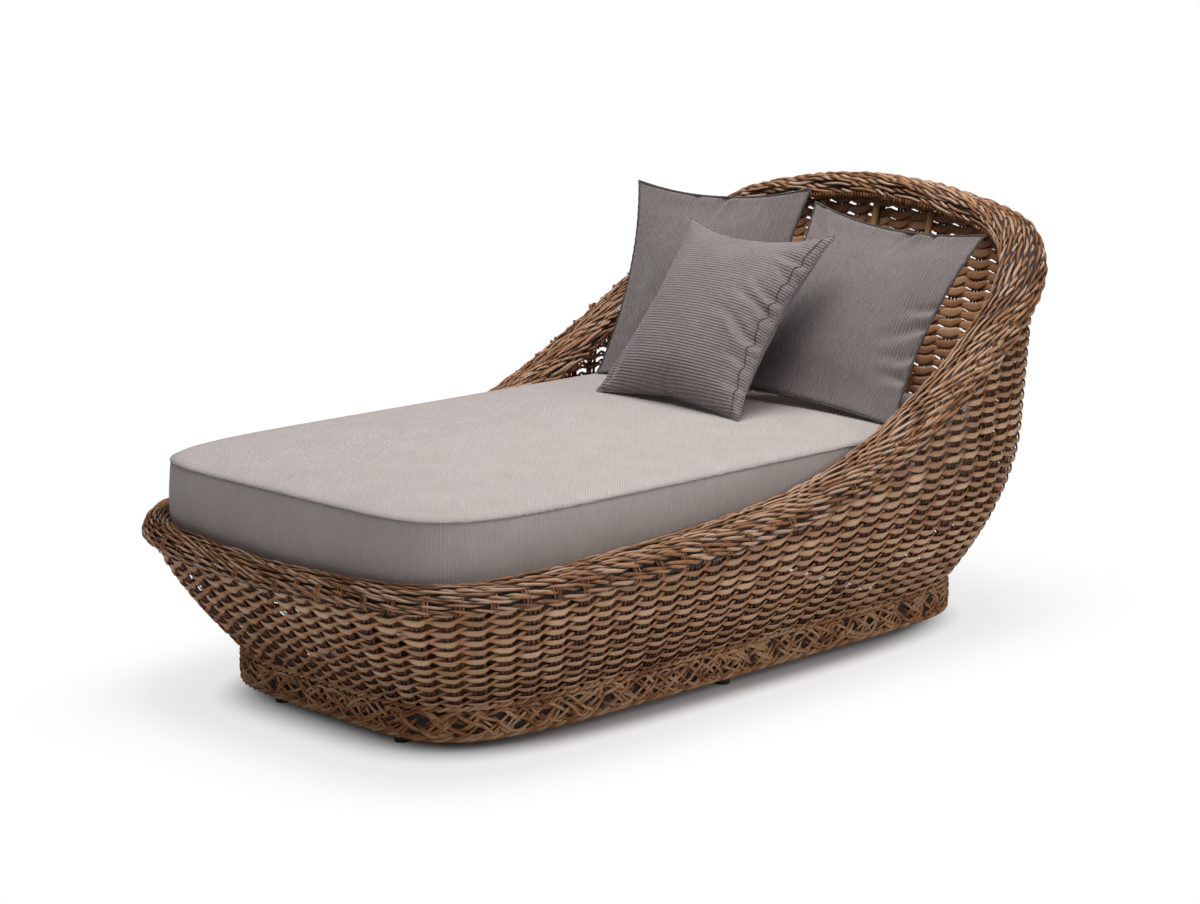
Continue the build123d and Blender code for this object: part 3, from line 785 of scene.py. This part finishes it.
# Acrylic outdoor canvas in warm grey, and cotton piping in charcoal
mattressMaterial = clothMaterial("acrylicCanvasPale", soft["canvasPale"], soft["canvasDark"],
                                 soft["canvasRib"], 0.15, (0, 0, 0.785), 0.459, 0.40, 0.11, 0.35)
stitchMaterial = clothMaterial("polyesterStitch", "#aba19e", "#898180", 1.6, 0.1)
pipingMaterial = clothMaterial("cottonPipingCharcoal", soft["pipingPale"], soft["pipingDark"],
                               1.8, 0.1)


def clothPiece(name, vertices, faces, cap, pinned=()):
    # A closed cloth form, blown up by pressure; its largest move is scaled down to a cap
    piece = newPiece(name, vertices, faces, mattressMaterial, None)
    cloth = piece.modifiers.new("cloth", "CLOTH")
    if len(pinned):
        held = piece.vertex_groups.new(name="pinned")
        held.add([int(number) for number in pinned], 1.0, "REPLACE")
        cloth.settings.vertex_group_mass = "pinned"
    cloth.settings.use_pressure = True
    cloth.settings.uniform_pressure_force = soft["pressure"]
    cloth.settings.effector_weights.gravity = 0
    cloth.settings.quality = 5
    cloth.point_cache.frame_end = soft["frames"]
    start = coordinates(piece.data)
    for step in range(1, soft["frames"] + 1):
        bpy.context.scene.frame_set(step)
    graph = bpy.context.evaluated_depsgraph_get()
    blown = bpy.data.meshes.new_from_object(piece.evaluated_get(graph))
    shift = coordinates(blown) - start
    piece.modifiers.clear()
    bpy.data.meshes.remove(blown)
    bpy.context.scene.frame_set(1)
    largest = np.linalg.norm(shift, axis=1).max()
    setCoordinates(piece, start + shift * min(1, cap / largest))
    print(name, "blown up by up to", round(float(largest) * 1000, 1), "mm before the cap")
    return piece


def coordinates(mesh):
    values = np.empty(len(mesh.vertices) * 3)
    mesh.vertices.foreach_get("co", values)
    return values.reshape(-1, 3)


def setCoordinates(piece, values):
    piece.data.vertices.foreach_set("co", np.asarray(values, dtype=np.float64).ravel())
    piece.data.update()


def closeByRungs(piece, ends):
    # Four-cornered rungs take the place of the faces that close the ends of a cloth form,
    # because a face with as many corners as a ring takes minutes to subdivide
    shell = bmesh.new()
    shell.from_mesh(piece.data)
    wide = [face for face in shell.faces if len(face.verts) > 4]
    bmesh.ops.delete(shell, geom=wide, context="FACES_ONLY")
    shell.verts.ensure_lookup_table()
    for end in ends:
        for step in range(len(end) // 2 - 1):
            corners = (step, step + 1, -step - 2, -step - 1)
            shell.faces.new([shell.verts[end[corner]] for corner in corners]).smooth = True
    bmesh.ops.recalc_face_normals(shell, faces=shell.faces)
    shell.to_mesh(piece.data)
    shell.free()


def finishSoft(piece, material, node):
    piece.data.materials[0] = material
    subdivision = piece.modifiers.new("smooth", "SUBSURF")
    subdivision.levels = subdivision.render_levels = 1
    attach(piece, node)
    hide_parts(node)


def cordAlong(name, path, facing, radius, material, body, closed=True):
    # A round cord along a seam
    if closed:
        ahead = np.roll(path, -1, 0) - np.roll(path, 1, 0)
    else:
        ahead = np.gradient(path, axis=0)
    beside = unit(np.cross(unit(ahead), facing))
    raised = np.cross(beside, unit(ahead))
    flat, quads = sweepStrips(path[None], raised[None], beside[None],
                              np.full((1, len(path)), radius), radius, 6, closed)
    cord = newPiece(name, flat, quads, material, body)
    return cord


# Mattress: rings from the middle of its bottom, up the boxed side and over the crown
box = {
    "reaches": (0.455, 0.836, 0.728), "powers": (6.8, 8.0), "bottom": 0.3013, "seam": 0.460,
    "crown": 0.0175, "shoulder": 0.060, "bulge": 0.005, "tuck": 0.012, "around": 280,
    "groove": 0.0003,
    "bottomShares": (0.03, 0.25, 0.5, 0.75, 0.93), "sideRings": 15,
    "topInsets": (0.003, 0.007, 0.012, 0.019, 0.028, 0.040, 0.055, 0.075, 0.1, 0.13, 0.165,
                  0.205, 0.25, 0.3, 0.35, 0.395, 0.435),
    "stitchPitch": 0.0085,
}
boxAngles, boxLength = evenAngles(box["around"], lambda a: np.stack(
    [*planPoint(a, box["reaches"], box["powers"]), 0 * a], axis=-1))
boxAngles = np.roll(boxAngles[:-1], box["around"] // 2)
centre = np.array([0, (box["reaches"][2] - box["reaches"][1]) / 2])


def boxRing(inset, share, height):
    ring = np.stack(planPoint(boxAngles, box["reaches"], box["powers"], inset), axis=-1)
    ring = centre + (ring - centre) * share
    return np.column_stack([ring, np.full(len(ring), height)])


rings = [boxRing(box["tuck"], share, box["bottom"]) for share in box["bottomShares"]]
bottomCount = len(rings) * box["around"]
for rise in np.linspace(0, 1, box["sideRings"]):
    inset = box["tuck"] * math.exp(-rise / 0.09) - box["bulge"] * math.sin(math.pi * rise) ** 0.8
    inset += box["groove"] * (rise == 1)
    rings.append(boxRing(inset, 1, box["bottom"] + (box["seam"] - box["bottom"]) * rise))
seamRing = (len(rings) - 1) * box["around"] + np.arange(box["around"])
for inset in box["topInsets"]:
    share = inset / box["reaches"][0]
    over = 1 - min(inset / box["shoulder"], 1)
    lift = 0.85 * math.sqrt(1 - over ** 2) + 0.15 * smoothStep(inset / 0.3)
    rings.append(boxRing(0, 1 - share, box["seam"] + box["crown"] * lift))
index = np.arange(len(rings) * box["around"]).reshape(len(rings), -1)
after = np.roll(index, -1, 1)
quads = np.stack([index[:-1], after[:-1], after[1:], index[1:]], -1).reshape(-1, 4).tolist()
ends = [index[0, ::-1].tolist(), index[-1].tolist()]
pinned = np.concatenate([np.arange(bottomCount), seamRing])
mattress = clothPiece("mattress_cover", np.concatenate(rings), quads + ends,
                      soft["mattressCap"], pinned)
closeByRungs(mattress, ends)
paint(mattress, "along", np.tile(np.arange(box["around"]) * boxLength / box["around"], len(rings)))
finishSoft(mattress, mattressMaterial, "mattress")
seamPath = boxRing(box["groove"] - 0.0008, 1, box["seam"])
cordAlong("mattress_seam", seamPath, up, 0.0012, stitchMaterial, "mattress")
stitches = beadsAlong("mattress_stitches", boxRing(-0.0002, 1, box["seam"] - 0.0035),
                      stitchMaterial, "mattress", Pitch=box["stitchPitch"], Along=0.0056,
                      Tall=0.0014, Deep=0.0014)
print("mattress made")

# Scatter cushions: two panels sewn along a drawn-in square. Each has its middle in metres,
# its turn, lean and tilt in degrees, its cloth, and creases on the front panel as start x,
# start y, direction in degrees, length, half width and depth
cushion = {"half": 0.225, "thick": 0.118, "drawIn": 0.026, "cells": 66, "edgePower": 0.60,
           "pucker": 0.0009, "rib": 6.0, "foldDepth": 1.7}
cushions = {
    "cushion_left": {
        "middle": (-0.212, 0.504, 0.6864), "angles": (10, 23.5, 1.5),
        "cloth": ("#7b7371", "#5b5452"), "upright": True, "piping": 0.0026,
        "creases": ((0.03, 0.21, -118, 0.11, 0.010, 0.006), (-0.06, 0.21, -70, 0.08, 0.012, 0.004),
                    (0.20, 0.05, 170, 0.10, 0.010, 0.004))},
    "cushion_right": {
        "middle": (0.226, 0.495, 0.6724), "angles": (4.5, 34.5, -5),
        "cloth": ("#7e7573", "#5d5654"), "upright": True, "piping": 0.0026,
        "creases": ((0.07, 0.215, -125, 0.12, 0.011, 0.008), (0.11, 0.215, -80, 0.07, 0.009, 0.006),
                    (0.21, 0.06, 212, 0.13, 0.011, 0.006), (0.21, 0.00, 206, 0.14, 0.012, 0.007),
                    (0.21, -0.06, 200, 0.12, 0.012, 0.006), (0.21, -0.12, 190, 0.10, 0.011, 0.005),
                    (-0.20, 0.20, -52, 0.12, 0.011, 0.005))},
    "cushion_front": {
        "middle": (-0.004, 0.319, 0.6576), "angles": (-4.7, 38, 0.7),
        "cloth": ("#857c7b", "#635b5a"), "upright": False, "piping": 0.0012,
        "creases": ((0.215, 0.125, 164, 0.13, 0.008, 0.006),
                    (0.215, 0.080, 158, 0.10, 0.007, 0.005),
                    (0.215, 0.030, 156, 0.15, 0.008, 0.007),
                    (0.215, -0.015, 152, 0.17, 0.009, 0.008),
                    (0.215, -0.065, 160, 0.19, 0.010, 0.008),
                    (0.215, -0.12, 168, 0.12, 0.008, 0.005),
                    (0.215, -0.16, 172, 0.09, 0.008, 0.004),
                    (-0.19, -0.19, 60, 0.09, 0.010, 0.004))},
}


def pillowForm(count):
    # Points on the unit square and their side, the faces, and the seam's points in order
    index = np.arange(count * count).reshape(count, count)
    back = index.copy()
    back[1:-1, 1:-1] = count * count + np.arange((count - 2) ** 2).reshape(count - 2, -1)
    faces = []
    for grid, way in ((index, 1), (back, -1)):
        cells = np.stack([grid[:-1, :-1], grid[1:, :-1], grid[1:, 1:], grid[:-1, 1:]], -1)
        faces += cells.reshape(-1, 4)[:, ::way].tolist()
    line = np.linspace(-1, 1, count)
    u, v = np.meshgrid(line, line, indexing="ij")
    u = np.concatenate([u.ravel(), u[1:-1, 1:-1].ravel()])
    v = np.concatenate([v.ravel(), v[1:-1, 1:-1].ravel()])
    side = np.concatenate([np.ones(count * count), -np.ones((count - 2) ** 2)])
    seam = np.concatenate([index[:-1, 0], index[-1, :-1], index[:0:-1, -1], index[0, :0:-1]])
    return u, v, side, faces, seam, index


def crease(x, y, creases):
    # Depth of the folds at points of the front panel: a valley with a lip beside it
    push = 0 * x
    for startX, startY, turn, length, wide, deep in creases:
        ahead, aside = math.cos(math.radians(turn)), math.sin(math.radians(turn))
        run = (x - startX) * ahead + (y - startY) * aside
        off = (y - startY) * ahead - (x - startX) * aside
        off = off + 0.006 * np.sin(run * 45 + startY * 60)
        fade = (1 - smoothStep(run / length)) * smoothStep((run + 0.02) / 0.02)
        valley = np.exp(-(off / wide) ** 2) - 0.55 * np.exp(-((off - 1.7 * wide) / wide) ** 2)
        push = push - cushion["foldDepth"] * deep * fade * valley
    return push


for name, values in cushions.items():
    turn, lean, tilt = (math.radians(value) for value in values["angles"])
    across = np.array([math.cos(turn), math.sin(turn), 0])
    upward = up * math.cos(lean) + np.array([-across[1], across[0], 0]) * math.sin(lean)
    along = across * math.cos(tilt) + upward * math.sin(tilt)
    climb = -across * math.sin(tilt) + upward * math.cos(tilt)
    facing = np.cross(along, climb)
    u, v, side, faces, seam, index = pillowForm(cushion["cells"] + 1)
    fullness = np.clip((1 - u ** 2) * (1 - v ** 2), 0, 1) ** cushion["edgePower"]
    x = u * (cushion["half"] - cushion["drawIn"] * (1 - v ** 2))
    y = v * (cushion["half"] - cushion["drawIn"] * (1 - u ** 2) * np.where(v < 0, 0.3, 1))
    z = side * cushion["thick"] / 2 * fullness
    local = np.stack([x, y, z], axis=-1)
    axes = np.array([along, climb, facing])
    middle = np.array(values["middle"])
    piece = clothPiece(name + "_cover", local @ axes + middle, faces, soft["cushionCap"])
    local = (coordinates(piece.data) - middle) @ axes.T
    edge = np.maximum(np.abs(u), np.abs(v))
    pucker = np.sin((np.where(np.abs(u) > np.abs(v), y, x)) * 2 * math.pi / 0.019 + u * 2)
    local[:, 2] += side * cushion["pucker"] * pucker * smoothStep((edge - 0.86) / 0.1)
    local[:, 2] += np.where((side > 0) & (edge < 1), crease(x, y, values["creases"]), 0)
    setCoordinates(piece, local @ axes + middle)
    ribAxes = (along, climb, facing) if values["upright"] else (climb, -along, facing)
    ribTurn = tuple(Matrix(ribAxes).transposed().to_euler())
    pale, dark = values["cloth"]
    material = clothMaterial(name + "Ribbed", pale, dark, cushion["rib"], 0.2, ribTurn)
    slot = "cushion_cloth_light" if name == "cushion_front" else "cushion_cloth"
    finishSoft(piece, material, name)
    placed = coordinates(piece.data)
    pipe = pipingMaterial if values["upright"] else material
    cordAlong(name + "_piping", placed[seam], facing, values["piping"], pipe, name)
    if name == "cushion_front":
        zipPath = placed[index[-4, 2:-2]] + facing * 0.0006
        cordAlong(name + "_zip", zipPath, facing, 0.0011, pipingMaterial, name, False)
print("cushions made")

# Camera, floor and light
scene = bpy.context.scene
scene.view_settings.view_transform = "Standard"
camera = bpy.data.objects.new("camera", bpy.data.cameras.new("camera"))
bpy.context.collection.objects.link(camera)
camera.location = (3.9449, -3.8930, 1.5625)
aim = Vector((-0.00543, -0.01196, 0.41429)) - camera.location
camera.rotation_euler = aim.to_track_quat("-Z", "Y").to_euler()
camera.data.sensor_width = 36
camera.data.lens = 84.09
camera.data.clip_end = 100
scene.camera = camera

floorMesh = bpy.data.meshes.new("floor")
floorMesh.from_pydata([(-30, -30, 0), (30, -30, 0), (30, 30, 0), (-30, 30, 0)], [], [(0, 1, 2, 3)])
floor = bpy.data.objects.new("floor", floorMesh)
bpy.context.collection.objects.link(floor)
floorMaterial, floorShader = newMaterial("studioFloorPaint", "#fbfbfb", 0.9)
place = addNode(floorMaterial, "ShaderNodeTexCoord").outputs["Object"]
fitted = addNode(floorMaterial, "ShaderNodeVectorMath", {1: (1 / 0.40, 1 / 0.76, 0.0)}, {0: place},
                 operation="MULTIPLY")
apart = addNode(floorMaterial, "ShaderNodeSeparateXYZ", links={"Vector": fitted.outputs[0]})
sides = [addNode(floorMaterial, "ShaderNodeMath", {1: 4.0}, {0: addNode(
    floorMaterial, "ShaderNodeMath", links={0: apart.outputs[axis]},
    operation="ABSOLUTE").outputs[0]}, operation="POWER").outputs[0] for axis in ("X", "Y")]
together = addNode(floorMaterial, "ShaderNodeMath", links={0: sides[0], 1: sides[1]},
                   operation="ADD").outputs[0]
distance = addNode(floorMaterial, "ShaderNodeMath", {1: 0.25}, {0: together},
                   operation="POWER").outputs[0]
near, far = (addNode(floorMaterial, "ShaderNodeMapRange",
                     {"From Min": start, "From Max": end, "To Max": amount}, {"Value": distance},
                     interpolation_type="SMOOTHSTEP").outputs[0]
             for start, end, amount in ((0.91, 1.11, 0.76), (1.08, 1.8, 0.24)))
fade = addNode(floorMaterial, "ShaderNodeMath", links={0: near, 1: far}, operation="ADD")
seenOnly = addNode(floorMaterial, "ShaderNodeLightPath")
amount = addNode(floorMaterial, "ShaderNodeMath",
                 links={0: fade.outputs[0], 1: seenOnly.outputs["Is Camera Ray"]},
                 operation="MULTIPLY")
glow = addNode(floorMaterial, "ShaderNodeEmission", {"Color": (1, 1, 1, 1), "Strength": 1.0})
either = addNode(floorMaterial, "ShaderNodeMixShader",
                 links={0: amount.outputs[0], 1: floorShader.outputs[0], 2: glow.outputs[0]})
floorMaterial.node_tree.links.new(
    either.outputs[0], floorMaterial.node_tree.nodes["Material Output"].inputs["Surface"])
floorMesh.materials.append(floorMaterial)

world = bpy.data.worlds.new("studio")
scene.world = world
world.use_nodes = True
sky = world.node_tree.nodes["Background"]
sky.inputs["Color"].default_value = (1, 1, 1, 1)
sky.inputs["Strength"].default_value = 0.17
seen = addNode(world, "ShaderNodeBackground", {"Color": (1, 1, 1, 1), "Strength": 1.0})
rays = addNode(world, "ShaderNodeLightPath")
either = addNode(world, "ShaderNodeMixShader", links={
    0: rays.outputs["Is Camera Ray"], 1: sky.outputs[0], 2: seen.outputs[0]})
world.node_tree.links.new(
    either.outputs[0], world.node_tree.nodes["World Output"].inputs["Surface"])

for name, place, size, power in (("topLight", (0.2, -0.1, 2.9), 2.1, 92),
                                 ("rightLight", (3.6, 0.6, 1.9), 2.0, 40),
                                 ("frontLight", (1.6, -3.6, 2.0), 2.5, 10)):
    light = bpy.data.objects.new(name, bpy.data.lights.new(name, "AREA"))
    bpy.context.collection.objects.link(light)
    light.location = place
    light.rotation_euler = (Vector((0, 0, 0.4)) - Vector(place)).to_track_quat("-Z", "Y").to_euler()
    light.data.size, light.data.energy = size, power
print("stage set")
